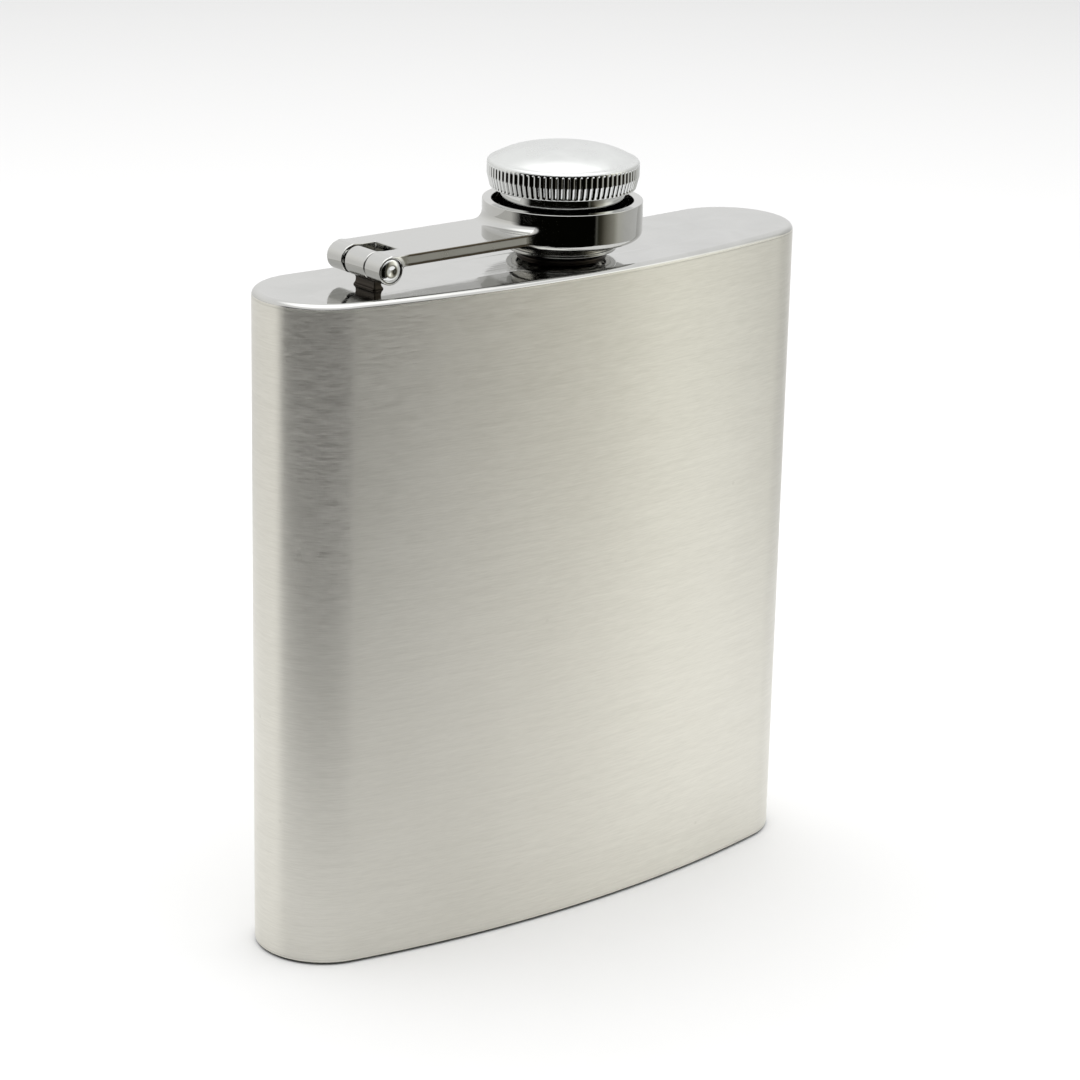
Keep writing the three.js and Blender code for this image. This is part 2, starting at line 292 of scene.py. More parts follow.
def blend(a, b, width):
    """Union of two solids with a fillet of about that width between them."""
    near = np.maximum(width - np.abs(a - b), 0) / width
    return np.minimum(a, b) - near**2 * width / 4


def carve(a, b, width):
    """Solid a without solid b, its new edges softened over that width."""
    return -blend(-a, b, width)


def field_object(name, field, low, high, pitch):
    """The surface where field(x, y, z) is zero, as a quad mesh with true normals."""
    settling_steps = 6
    axes = [np.arange(a - pitch, b + 2 * pitch, pitch) for a, b in zip(low, high)]
    grid = np.meshgrid(*axes, indexing="ij")
    values = field(*grid)
    inside = values < 0
    corners = [(i, j, k) for i in (0, 1) for j in (0, 1) for k in (0, 1)]
    size = np.array(values.shape) - 1

    def shifted(array, offset):
        return array[tuple(slice(o, o + s) for o, s in zip(offset, size))]

    total = sum(shifted(inside, c).astype(np.int8) for c in corners)
    mixed = (total > 0) & (total < 8)
    cells = np.argwhere(mixed)
    number = np.full(mixed.shape, -1)
    number[mixed] = np.arange(len(cells))
    origin = np.array([a[0] for a in axes])
    points = origin + (cells + 0.5) * pitch

    def slope(at):
        d = pitch * 0.05
        return np.stack(
            [
                (field(*(at + d * e).T) - field(*(at - d * e).T)) / (2 * d)
                for e in np.eye(3)
            ],
            axis=1,
        )

    for _ in range(settling_steps):
        normals = slope(points)
        steepness = np.maximum((normals**2).sum(1), 0.05)
        move = (field(*points.T) / steepness)[:, None] * normals
        length = np.linalg.norm(move, axis=1, keepdims=True)
        move *= np.minimum(1, 0.6 * pitch / np.maximum(length, 1e-12))
        points = points - move
    normals = slope(points)
    normals /= np.linalg.norm(normals, axis=1, keepdims=True)

    faces = []
    for axis in range(3):
        u, v = [a for a in range(3) if a != axis]
        ahead = [0, 0, 0]
        ahead[axis] = 1
        crossing = shifted(inside, (0, 0, 0)) != shifted(inside, ahead)
        edges = np.argwhere(crossing)
        edges = edges[(edges[:, u] > 0) & (edges[:, v] > 0)]
        back_u = np.eye(3, dtype=int)[u]
        back_v = np.eye(3, dtype=int)[v]
        quad = [edges, edges - back_u, edges - back_u - back_v, edges - back_v]
        faces.append(np.stack([number[tuple(q.T)] for q in quad], axis=1))
    faces = np.concatenate(faces)
    faces = faces[(faces >= 0).all(1)]
    return make_object(name, points.tolist(), faces.tolist(), normals.tolist())


# --- materials -----------------------------------------------------------


class Surface:
    """A metal or rubber material whose nodes are added a step at a time."""

    def __init__(self, name, metallic, roughness, color):
        self.material = bpy.data.materials.new(name)
        self.material.use_nodes = True
        self.nodes = self.material.node_tree.nodes
        self.links = self.material.node_tree.links
        self.shader = self.nodes["Principled BSDF"]
        self.shader.inputs["Metallic"].default_value = metallic
        self.shader.inputs["Roughness"].default_value = roughness
        self.shader.inputs["Base Color"].default_value = (*color, 1)
        self.place = self.nodes.new("ShaderNodeTexCoord").outputs["Object"]

    def noise(self, scale, detail=3.0, roughness=0.55, distortion=0.0):
        """Noise with a feature count per metre along X, Y and Z."""
        mapping = self.nodes.new("ShaderNodeMapping")
        mapping.inputs["Scale"].default_value = scale
        texture = self.nodes.new("ShaderNodeTexNoise")
        texture.inputs["Scale"].default_value = 1.0
        texture.inputs["Detail"].default_value = detail
        texture.inputs["Roughness"].default_value = roughness
        texture.inputs["Distortion"].default_value = distortion
        self.links.new(self.place, mapping.inputs["Vector"])
        self.links.new(mapping.outputs["Vector"], texture.inputs["Vector"])
        return texture.outputs["Fac"]

    def along(self, axis):
        """Distance from the origin along X, Y or Z."""
        split = self.nodes.new("ShaderNodeSeparateXYZ")
        self.links.new(self.place, split.inputs["Vector"])
        return split.outputs[axis]

    def cells(self, per_metre):
        """Distance to the nearest of scattered points, in cell widths."""
        texture = self.nodes.new("ShaderNodeTexVoronoi")
        texture.inputs["Scale"].default_value = per_metre
        self.links.new(self.place, texture.inputs["Vector"])
        return texture.outputs["Distance"]

    def spread(self, value, low, high, start=0.3, end=0.7):
        """value from start..end mapped to low..high."""
        node = self.nodes.new("ShaderNodeMapRange")
        node.inputs["From Min"].default_value = start
        node.inputs["From Max"].default_value = end
        node.inputs["To Min"].default_value = low
        node.inputs["To Max"].default_value = high
        self.links.new(value, node.inputs["Value"])
        return node.outputs["Result"]

    def combine(self, operation, a, b=0.0):
        """Result of a Math node on two values."""
        node = self.nodes.new("ShaderNodeMath")
        node.operation = operation
        for socket, value in zip(node.inputs, (a, b)):
            if isinstance(value, (int, float)):
                socket.default_value = value
            else:
                self.links.new(value, socket)
        return node.outputs["Value"]

    def mixture(self, *weighted):
        """Sum of (value, weight) pairs."""
        parts = [self.combine("MULTIPLY", value, weight) for value, weight in weighted]
        total = parts[0]
        for part in parts[1:]:
            total = self.combine("ADD", total, part)
        return total

    def tint(self, value, dark, light):
        """Base colour between dark and light, by value."""
        node = self.nodes.new("ShaderNodeMix")
        node.data_type = "RGBA"
        node.inputs["A"].default_value = (*dark, 1)
        node.inputs["B"].default_value = (*light, 1)
        self.links.new(value, node.inputs["Factor"])
        self.links.new(node.outputs["Result"], self.shader.inputs["Base Color"])

    def rough(self, value):
        """Roughness driven by value."""
        self.links.new(value, self.shader.inputs["Roughness"])

    def bump(self, value, strength, distance):
        """Fine relief driven by value."""
        node = self.nodes.new("ShaderNodeBump")
        node.inputs["Strength"].default_value = strength
        node.inputs["Distance"].default_value = distance
        self.links.new(value, node.inputs["Height"])
        self.links.new(node.outputs["Normal"], self.shader.inputs["Normal"])

    def stretch_highlights(self, amount):
        """Highlights spread across the brush lines that circle the Z axis."""
        tangent = self.nodes.new("ShaderNodeTangent")
        tangent.direction_type = "RADIAL"
        tangent.axis = "Z"
        self.links.new(tangent.outputs["Tangent"], self.shader.inputs["Tangent"])
        self.shader.inputs["Anisotropic"].default_value = amount
        self.shader.inputs["Anisotropic Rotation"].default_value = 0.25


def brushed_steel():
    """Sheet steel brushed level, round the body."""
    s = Surface("brushed_steel", 1.0, 0.36, (0.73, 0.715, 0.655))
    streaks = s.noise((420, 420, 5600), detail=3, roughness=0.6)
    bands = s.noise((70, 70, 1500), detail=2)
    clouds = s.noise((32, 32, 14), detail=2)
    grain = s.mixture((streaks, 0.7), (bands, 0.3))
    shade = s.mixture((grain, 0.75), (clouds, 0.25))
    pits = s.spread(s.cells(120), 0.8, 0, 0.02, 0.04)
    s.tint(
        s.combine("SUBTRACT", s.spread(shade, 0, 1, 0.36, 0.64), pits),
        (0.68, 0.665, 0.605),
        (0.78, 0.765, 0.705),
    )
    s.rough(s.spread(streaks, 0.31, 0.41))
    s.bump(s.combine("SUBTRACT", grain, pits), 0.13, 0.02 * MM)
    s.stretch_highlights(0.95)
    return s.material


def polished_steel():
    """Mirror-polished steel with faint waves and wipe marks."""
    s = Surface("polished_steel", 1.0, 0.07, POLISHED)
    smudges = s.noise((160, 160, 160), detail=4, distortion=0.6)
    wipes = s.noise((90, 1400, 1400), detail=3, roughness=0.6)
    s.rough(s.spread(s.combine("MULTIPLY", smudges, wipes), 0.04, 0.12, 0.18, 0.36))
    waves = s.noise((130, 130, 130), detail=1)
    s.bump(s.mixture((waves, 1.0), (wipes, 0.03)), 0.35, 0.03 * MM)
    s.tint(s.spread(smudges, 0, 1), (0.515, 0.515, 0.5), (0.565, 0.565, 0.55))
    return s.material


def chrome(name, finish, color):
    """Bright plating, faintly uneven; finish is its lowest and highest roughness."""
    s = Surface(name, 1.0, sum(finish) / 2, color)
    haze = s.noise((220, 220, 220), detail=4, distortion=0.4)
    s.rough(s.spread(haze, *finish))
    ripples = s.noise((900, 900, 900), detail=3)
    s.bump(ripples, 0.12, 0.012 * MM)
    s.tint(s.spread(haze, 0, 1), [0.96 * c for c in color], [1.04 * c for c in color])
    return s.material


def heat_tint_and_painted_shade(name, color, low, high):
    """Steel browned by the heat of its weld and darkened with painted shade, up to between two
    heights above the plate.
    """
    s = Surface(name, 1.0, 0.1, color)
    stains = s.noise((900, 900, 900), detail=3)
    ragged = s.mixture((s.along("Z"), 1.0), (stains, 0.8 * MM))
    clear_of_tint_and_shade = s.spread(ragged, 0, 1, TOP + low, TOP + high)
    # Near-black low down: partly heat tint, partly painted shade from the collar and knuckle
    # above.
    s.tint(clear_of_tint_and_shade, (0.046, 0.039, 0.032), color)
    s.rough(s.spread(clear_of_tint_and_shade, 0.38, 0.09, 0, 1))
    s.bump(stains, 0.3, 0.03 * MM)
    return s.material


def strap_steel_painted_reflection():
    """Polished strap with a dark band painted along the middle of its cut sides, a painted
    reflection of the dark room.
    """
    s = Surface("strap_steel_painted_reflection", 1.0, 0.08, POLISHED)
    smudges = s.noise((160, 160, 160), detail=4, distortion=0.6)
    band_wobble = s.noise((500, 500, 2600), detail=3)
    ragged = 0.1 * MM
    level = s.mixture((s.along("Z"), 1.0), (band_wobble, ragged))
    middle = STRAP_TOP - 0.5 * STRAP_THICKNESS + ragged
    apart = s.combine("ABSOLUTE", s.combine("SUBTRACT", level, middle))
    line = s.spread(apart, 0, 1, 0.24 * STRAP_THICKNESS, 0.32 * STRAP_THICKNESS)
    outward = s.combine("ABSOLUTE", s.along("Y"))
    on_side = s.spread(outward, 0, 1, STRAP_HALF - 0.14 * MM, STRAP_HALF - 0.06 * MM)
    lengthwise = s.along("X")
    past_pin = s.spread(lengthwise, 0, 1, PIN_X + KNUCKLE, PIN_X + 1.5 * KNUCKLE)
    collar_edge = CAP_X - COLLAR_RADIUS
    on_strap = s.spread(lengthwise, 1, 0, collar_edge, collar_edge + 0.2 * COLLAR_RADIUS)
    cut = s.combine("MULTIPLY", on_side, s.combine("MULTIPLY", past_pin, on_strap))
    painted_reflection = s.combine("MULTIPLY", cut, line)
    # Dark band on the cut sides: painted reflection, not a mark of the metal.
    s.tint(painted_reflection, POLISHED, (0.09, 0.075, 0.055))
    s.rough(s.combine("ADD", s.spread(smudges, 0.05, 0.12), s.spread(cut, 0, 0.2, 0, 1)))
    waves = s.noise((130, 130, 130), detail=1)
    s.bump(waves, 0.35, 0.03 * MM)
    return s.material


def painted_contact_shade():
    """Steel painted dark along the base's foot: painted contact shade where it meets what it
    stands on.
    """
    s = Surface("painted_contact_shade", 1.0, 0.5, (0.08, 0.085, 0.075))
    shade_blotches = s.noise((700, 700, 700), detail=3)
    s.tint(s.spread(shade_blotches, 0, 1), (0.05, 0.055, 0.045), (0.12, 0.125, 0.11))
    s.rough(s.spread(shade_blotches, 0.4, 0.6))
    return s.material


def turned_steel():
    """Lathe-turned steel with fine level rings."""
    s = Surface("turned_steel", 1.0, 0.14, (0.5, 0.49, 0.46))
    rings = s.noise((60, 60, 9000), detail=3)
    stains = s.noise((350, 350, 350), detail=3)
    s.rough(s.spread(rings, 0.08, 0.2))
    s.tint(s.spread(stains, 0, 1), (0.44, 0.43, 0.4), (0.56, 0.55, 0.52))
    s.bump(rings, 0.3, 0.012 * MM)
    return s.material


def gasket_rubber():
    """Cloudy silicone."""
    s = Surface("gasket_rubber", 0.0, 0.55, (0.72, 0.71, 0.67))
    clouds = s.noise((700, 700, 700), detail=4)
    s.tint(s.spread(clouds, 0, 1), (0.66, 0.65, 0.61), (0.77, 0.76, 0.72))
    s.rough(s.spread(clouds, 0.48, 0.62))
    s.bump(clouds, 0.25, 0.03 * MM)
    s.shader.inputs["Subsurface Weight"].default_value = 0.2
    s.shader.inputs["Subsurface Radius"].default_value = (1, 0.9, 0.8)
    s.shader.inputs["Subsurface Scale"].default_value = 0.8 * MM
    return s.material


# --- body ----------------------------------------------------------------


def arc_points(x, y, radius, start, end, segments):
    angles = np.linspace(start, end, segments, endpoint=False)
    return np.stack([x + radius * np.cos(angles), y + radius * np.sin(angles)], axis=1)


def outline(inset, face=72, corner=28):
    """The body's plan, offset inwards: convex front, hollow back, round ends.

    face and corner are the segments of each long side and of each corner.
    """
    front_y = FRONT_Y + FRONT_RADIUS
    back_y = BACK_Y + BACK_RADIUS
    front_x = HALF_WIDTH - FRONT_CORNER
    back_x = HALF_WIDTH - BACK_CORNER
    front_reach = FRONT_RADIUS - FRONT_CORNER
    back_reach = BACK_RADIUS + BACK_CORNER
    front_angle = math.acos(front_x / front_reach)
    back_angle = math.acos(back_x / back_reach)
    corner_front_y = front_y - front_reach * math.sin(front_angle)
    corner_back_y = back_y - back_reach * math.sin(back_angle)
    front_round = FRONT_CORNER - inset
    back_round = BACK_CORNER - inset
    pi = math.pi
    return np.concatenate(
        [
            arc_points(0, front_y, FRONT_RADIUS - inset, front_angle - pi, -front_angle, face),
            arc_points(front_x, corner_front_y, front_round, -front_angle, 0, corner),
            arc_points(back_x, corner_back_y, back_round, 0, pi - back_angle, corner),
            arc_points(0, back_y, BACK_RADIUS + inset, -back_angle, back_angle - pi, face),
            arc_points(-back_x, corner_back_y, back_round, back_angle, pi, corner),
            arc_points(-front_x, corner_front_y, front_round, pi, pi + front_angle, corner),
        ]
    )


def body_rings(profile):
    """Points of the body's outline at each (-inset, height) of a profile."""
    points = []
    for across, up in profile:
        points.extend((x, y, up) for x, y in outline(-across))
    return points


def make_wrap():
    """The sheet wrapped round the body."""
    low = body_low.z + FOOT + HAIRLINE
    high = TOP - SHOULDER - HAIRLINE
    corners = [
        (0, low, HAIRLINE),
        (0, high, HAIRLINE),
        (-WALL, high, 0),
        (-WALL, low, 0),
    ]
    profile = rounded(corners)
    points = body_rings(profile)
    faces = rings_to_faces(len(profile), len(outline(0)), closed=True)
    return make_object("wrap", points, faces)


def plate(name, rim, flat, thickness, rounding, hole):
    """A plate whose edge rolls over to meet the wrap, with a round hole or none.

    rim is the height where its edge meets the wrap, flat that of its outer face.
    """
    up = 1 if flat > rim else -1
    under = flat - up * thickness
    lip = WALL - HAIRLINE
    corners = [
        (-lip, under, 0),
        (-lip, rim, 0),
        (0, rim, HAIRLINE),
        (0, flat, rounding - HAIRLINE),
        (-rounding * 1.15, flat, 0),
    ]
    profile = rounded(corners, closed=False, step=math.radians(6))
    points = body_rings(profile)
    ring_size = len(outline(0))
    faces = rings_to_faces(len(profile), ring_size, closed=False)
    outer_start = (len(profile) - 1) * ring_size
    hole_low = len(points)
    hole_high = hole_low + HOLE_SEGMENTS
    if hole:
        for height in (under, flat):
            for x, y in arc_points(CAP_X, 0, hole, 0, 2 * math.pi, HOLE_SEGMENTS):
                points.append((x, y, height))
        for j in range(HOLE_SEGMENTS):
            k = (j + 1) % HOLE_SEGMENTS
            faces.append((hole_low + j, hole_low + k, hole_high + k, hole_high + j))
    for start, hole_start in ((0, hole_low), (outer_start, hole_high)):
        loops = [list(range(start, start + ring_size))]
        if hole:
            loops.append(list(range(hole_start, hole_start + HOLE_SEGMENTS)))
        flat_list = [i for loop in loops for i in loop]
        triangles = tessellate_polygon([[Vector(points[i]) for i in loop] for loop in loops])
        faces.extend(tuple(flat_list[i] for i in t) for t in triangles)
    piece = make_object(name, points, faces)
    weigh_normals(piece)
    return piece


# --- neck and hinge ------------------------------------------------------


def make_neck():
    """Threaded neck on its welded flange, with a plain lip."""
    shank_top = TOP + 1.4 * MM
    thread_top = neck_high.z - 0.7 * MM
    lip_edge = 0.2 * MM
    weld = rounded(
        [
            (NECK_BORE, TOP, 0),
            (NECK_FLANGE, TOP, 0),
            (NECK_FLANGE - 0.2 * MM, TOP + 0.35 * MM, 0.15 * MM),
            (NECK_ROOT + 0.25 * MM, TOP + 0.5 * MM, 0.2 * MM),
            (NECK_ROOT, shank_top, 0),
            (NECK_BORE, shank_top, 0),
        ]
    )
    foot = turned("neck_foot", weld)
    thread = threaded("neck_thread", NECK_ROOT, NECK_CREST, shank_top, thread_top, NECK_BORE)
    lip = rounded(
        [
            (NECK_BORE, thread_top, 0),
            (NECK_ROOT, thread_top, 0),
            (NECK_ROOT, neck_high.z, lip_edge),
            (NECK_BORE, neck_high.z, lip_edge),
        ]
    )
    return join("neck_tube", foot, thread, turned("neck_lip", lip))


def bracket_field(x, y, z):
    """The middle knuckle on its leg, which spreads a little where it is welded."""
    y0, y1 = bracket_low.y, bracket_high.y
    half = LEG_THICKNESS / 2
    edge = 0.14 * MM
    barrel = hinge_bar(x, y, z, KNUCKLE, y0, y1, edge)
    leg = rounded_box(x, y, z, (LEG_X - half, y0, TOP - half), (LEG_X + half, y1, PIN_Z), edge)
    weld = half + WELD_WIDTH
    weld_low = (LEG_X - weld, y0, TOP - half)
    weld_high = (LEG_X + weld, y1, TOP + 0.12 * MM)
    seam = rounded_box(x, y, z, weld_low, weld_high, 0.1 * MM)
    solid = blend(blend(barrel, leg, 0.5 * MM), seam, 0.7 * MM)
    clearance = 0.04 * MM
    bore = np.hypot(x - PIN_X, z - PIN_Z) - PIN_RADIUS - clearance
    return np.maximum(carve(solid, bore, 0.1 * MM), TOP - z)


def make_bracket():
    """The middle knuckle and its leg."""
    margin = 0.1 * MM
    grid = 0.08 * MM
    low = bracket_low - Vector((margin, margin, 0))
    high = bracket_high + Vector((margin, margin, margin))
    return field_object("bracket", bracket_field, low, high, grid)


def make_pin():
    """A pin whose domed ends are peened: each has a small dent in its middle."""
    face = STRAP_HALF - 0.1 * MM
    seat = face - 0.35 * MM
    crown = pin_high.y
    dent_radius = 0.6 * PIN_HEAD
    dent_depth = 0.2 * MM
    rim_angle, full_angle, rings = 1.15, 1.35, 20
    end = [
        (PIN_RADIUS, seat, 0),
        (PIN_HEAD, seat, 0.05 * MM),
        (PIN_HEAD, face, 0.12 * MM),
    ]
    dome = []
    for angle in np.linspace(rim_angle, 0.0, rings):
        radius = PIN_HEAD * math.sin(angle)
        rise = 1 - (1 - math.cos(angle)) / (1 - math.cos(full_angle))
        dent = max(0.0, 1 - (radius / dent_radius) ** 2) ** 2
        dome.append((radius, face + (crown - face) * rise - dent_depth * dent, 0))
    half = end + dome
    mirrored = [(r, -y, e) for r, y, e in reversed(half)]
    profile = rounded(mirrored + half, closed=False)
    piece = turned("pin", [(p[0], p[1]) for p in profile], segments=64, x=0)
    piece.data.transform(Matrix.Rotation(-math.pi / 2, 4, "X"))
    piece.data.transform(Matrix.Translation((PIN_X, 0, PIN_Z)))
    return piece


# --- arm -----------------------------------------------------------------


def collar_wall(across, z):
    """Distance to the collar's outside, as a solid disc with rounded edges."""
    tucked = 0.03 * MM  # how far it stays behind the turned collar
    top_edge = 0.12 * MM
    middle = (COLLAR_TOP + COLLAR_BOTTOM) / 2
    height = (COLLAR_TOP - COLLAR_BOTTOM) / 2 - 0.05 * MM
    edge = np.where(z < middle, COLLAR_FOOT, top_edge)
    out = across - (COLLAR_RADIUS - tucked) + edge
    up = np.abs(z - middle) - height + edge
    outside = np.hypot(np.maximum(out, 0), np.maximum(up, 0))
    return outside + np.minimum(np.maximum(out, up), 0) - edge


def strap_field(x, y, z):
    """Strap with its slot and outer knuckles, swept up into the collar's wall."""
    half = STRAP_HALF
    edge = 0.2 * MM
    knuckle_fillet = 0.5 * MM
    recess_depth = 0.5 * MM
    press_fit = 0.03 * MM
    sweep = 1.6 * MM
    strap_low = (PIN_X, -half, STRAP_TOP - STRAP_THICKNESS)
    strap_high = (CAP_X, half, STRAP_TOP)
    strap = rounded_box(x, y, z, strap_low, strap_high, edge)
    knuckles = hinge_bar(x, y, z, KNUCKLE, -half, half, edge)
    slot_low = (PIN_X - 2 * KNUCKLE, -SLOT_HALF, TOP)
    slot_high = (SLOT_END, SLOT_HALF, STRAP_TOP + KNUCKLE)
    slot = rounded_box(x, y, z, slot_low, slot_high, 0.15 * MM)
    arm = carve(blend(strap, knuckles, knuckle_fillet), slot, 0.16 * MM)
    radial = np.hypot(x - PIN_X, z - PIN_Z)
    arm = carve(arm, radial - PIN_RADIUS - press_fit, 0.08 * MM)
    recess = np.maximum(radial - PIN_RECESS, half - recess_depth - np.abs(y))
    arm = carve(arm, recess, 0.14 * MM)
    across = np.hypot(x - CAP_X, y)
    whole = blend(arm, collar_wall(across, z), sweep)
    inside_collar = COLLAR_INNER + 0.5 * MM
    return np.maximum(whole, inside_collar - across)


def make_arm():
    """The strap and the collar, as two objects that meet without a seam."""
    reach = 8.6 * MM
    end = CAP_X - 6.5 * MM
    grid = 0.11 * MM
    low = (PIN_X - KNUCKLE, -reach, arm_low.z)
    high = (end, reach, COLLAR_TOP)
    strap = field_object("arm_strap", strap_field, low, high, grid)
    floor_top = COLLAR_BOTTOM + COLLAR_FLOOR
    hole_edge = 0.15 * MM
    corners = [
        (COLLAR_HOLE, COLLAR_BOTTOM, hole_edge),
        (COLLAR_RADIUS, COLLAR_BOTTOM, COLLAR_FOOT),
        (COLLAR_RADIUS, COLLAR_TOP, 0.1 * MM),
        (COLLAR_INNER, COLLAR_TOP, 0.14 * MM),
        (COLLAR_INNER, floor_top, 0.3 * MM),
        (COLLAR_HOLE, floor_top, hole_edge),
    ]
    collar = turned("arm_collar", rounded(corners, step=math.radians(7)), segments=256)
    weigh_normals(collar)
    return strap, collar


# --- cap -----------------------------------------------------------------


def knurl_shape(angle, radius, height):
    """Round-crested ridges on the head's side, run out at its top and bottom."""
    innermost = HEAD_RADIUS - 0.6 * MM
    if radius < innermost:
        return radius, height
    roundness = 0.94
    low_run_out, high_run_out = 0.35 * MM, 0.3 * MM
    across = 2 * ((angle * KNURL_COUNT / (2 * math.pi)) % 1.0) - 1
    valley = 1 - math.sqrt(max(0.0, 1 - (roundness * across) ** 2))
    low_fade = (height - HEAD_BOTTOM) / low_run_out
    high_fade = (HEAD_EDGE + 0.05 * MM - height) / high_run_out
    depth = KNURL_DEPTH * max(0.0, min(1.0, low_fade, high_fade))
    return radius - depth * valley, height


def make_shell():
    """Barrel, knurled side and crowned top; the knurling narrows downwards."""
    bottom = shell_low.z
    cavity_top = insert_high.z + 0.05 * MM
    crown = shell_high.z
    shoulder = 0.6 * MM
    under_edge = 0.25 * MM
    row_height = 0.12 * MM
    steps_per_ridge = 10
    shoulder_z = HEAD_EDGE + 0.45 * MM
    waist_z = HEAD_BOTTOM + 1.9 * MM
    corners = [
        (0, cavity_top, 0),
        (BARREL_BORE, cavity_top, 0.3 * MM),
        (BARREL_BORE, bottom, 0.08 * MM),
        (BARREL, bottom, 0.15 * MM),
        (BARREL, HEAD_BOTTOM, under_edge),
        (HEAD_RADIUS - HEAD_TAPER, HEAD_BOTTOM, under_edge),
        (HEAD_RADIUS, waist_z, 0),
        (HEAD_RADIUS, shoulder_z, shoulder),
        (0, shoulder_z + 0.9 * MM, 0),
    ]
    side = []
    outline_points = rounded(corners, closed=False)[:-1]
    for a, b in zip(outline_points, outline_points[1:]):
        side.append(a)
        on_grip = min(a[0], b[0]) > HEAD_RADIUS - HEAD_TAPER - 0.05 * MM
        rows = math.ceil((b - a).length / row_height) if on_grip else 1
        side.extend(a.lerp(b, k / rows) for k in range(1, rows))
    side.append(outline_points[-1])
    edge_r, edge_z = side[-1]
    dome = []
    rings = 24
    for k in range(1, rings + 1):
        part = 1 - k / rings
        dome.append(Vector((edge_r * part, crown - (crown - edge_z) * part**CROWN_POWER)))
    segments = KNURL_COUNT * steps_per_ridge
    return turned("cap_head", side + dome, segments=segments, shape=knurl_shape)


def make_insert():
    """Threaded lining of the cap, with the sleeve that passes through the collar."""
    thread_seat = INSERT_BORE + 0.25 * MM
    shoulder = shell_low.z + 0.3 * MM
    bore_top = gasket_high.z + 0.05 * MM
    thread_low = insert_low.z + 0.6 * MM
    thread_high = gasket_low.z - 0.4 * MM
    outer = BARREL_BORE - 0.05 * MM
    sleeve_edge = 0.12 * MM
    step_edge = 0.1 * MM
    corners = [
        (0, bore_top, 0),
        (INSERT_BORE, bore_top, 0),
        (INSERT_BORE, thread_high, 0),
        (thread_seat, thread_high, 0),
        (thread_seat, thread_low, 0),
        (INSERT_BORE, thread_low, 0),
        (INSERT_BORE, insert_low.z, sleeve_edge),
        (SLEEVE, insert_low.z, sleeve_edge),
        (SLEEVE, shoulder, step_edge),
        (outer, shoulder, step_edge),
        (outer, insert_high.z, 0.2 * MM),
        (0, insert_high.z, 0),
    ]
    body = turned("insert_body", rounded(corners, closed=False))
    thread = threaded(
        "insert_thread", INSERT_BORE, INSERT_CREST, thread_low, thread_high, thread_seat
    )
    return join("insert", body, thread)


def make_ring():
    """Ring on the sleeve's end that keeps the cap in the collar."""
    bore = SLEEVE + 0.03 * MM
    outer = ring_high.x - CAP_X
    bore_edge, outer_edge = 0.05 * MM, 0.15 * MM
    corners = [
        (bore, ring_low.z, bore_edge),
        (outer, ring_low.z, outer_edge),
        (outer, ring_high.z, outer_edge),
        (bore, ring_high.z, bore_edge),
    ]
    return turned("retaining_ring", rounded(corners))


def make_gasket():
    """Soft disc, a little thinner over the neck's bore than on its rim."""
    outer = gasket_high.x - CAP_X
    middle = gasket_low.z + 0.15 * MM
    corners = [
        (0, middle, 0),
        (NECK_BORE - 0.4 * MM, middle, 0.1 * MM),
        (NECK_BORE - 0.1 * MM, gasket_low.z, 0.1 * MM),
        (outer, gasket_low.z, 0.25 * MM),
        (outer, gasket_high.z, 0.1 * MM),
        (0, gasket_high.z, 0),
    ]
    return turned("gasket", rounded(corners, closed=False), segments=96)


# --- assembly ------------------------------------------------------------


def fit(piece, body, node, material):
    """Put a piece in place of a CAD node, on that node's body."""
    piece.data.materials.clear()
    piece.data.materials.append(material)
    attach(piece, body)
    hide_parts(node)


def finish_between(piece, low, high, material):
    """Give the faces between two heights a finish of their own."""
    piece.data.materials.append(material)
    for face in piece.data.polygons:
        if low < face.center.z < high:
            face.material_index = 1


def build_flask():
    brushed = brushed_steel()
    polished = polished_steel()
    plated = chrome("chrome", (0.03, 0.1), (0.72, 0.73, 0.725))
    satin = chrome("satin_chrome", (0.24, 0.34), (0.67, 0.68, 0.67))
    # Bracket and neck: heat tint plus painted shade under the knuckle and under the collar.
    welded = heat_tint_and_painted_shade("bracket_heat_tint_and_painted_shade", POLISHED, 1.7 * MM, 2.6 * MM)
    neck_heat_tint_and_painted_shade = heat_tint_and_painted_shade("neck_heat_tint_and_painted_shade", (0.4, 0.39, 0.36), 0.8 * MM, 1.8 * MM)
    strap_painted_reflection = strap_steel_painted_reflection()
    lathe_cut = turned_steel()
    rubber = gasket_rubber()
    base = plate("base", body_low.z + FOOT, body_low.z, PLATE_THICKNESS, FOOT, None)
    top = plate("top", TOP - SHOULDER, TOP, PLATE_THICKNESS, SHOULDER, NECK_BORE)
    strap, collar = make_arm()
    fit(make_wrap(), "flask", "body_wrap", brushed)
    fit(base, "flask", "bottom_plate", brushed)
    # A thin band of painted contact shade along the foot of the base.
    underside = body_low.z + HAIRLINE / 2
    finish_between(base, underside, body_low.z + PAINTED_SHADE_LINE, painted_contact_shade())
    fit(top, "flask", "top_plate", polished)
    finish_between(top, TOP - SHOULDER - MM, TOP - SHOULDER + BRUSHED_LIP, brushed)
    fit(make_neck(), "flask", "neck", neck_heat_tint_and_painted_shade)
    fit(make_bracket(), "flask", "hinge_bracket", welded)
    fit(make_pin(), "arm", "hinge_pin", plated)
    fit(strap, "arm", "cap_arm", strap_painted_reflection)
    fit(collar, "arm", "cap_arm", polished)
    head = make_shell()
    fit(head, "cap", "cap_shell", plated)
    finish_between(head, HEAD_EDGE + 0.1 * MM, shell_high.z + MM, satin)
    fit(make_insert(), "cap", "cap_insert", lathe_cut)
    fit(make_ring(), "cap", "cap_retaining_ring", polished)
    fit(make_gasket(), "seal", "cap_gasket", rubber)


# --- studio --------------------------------------------------------------


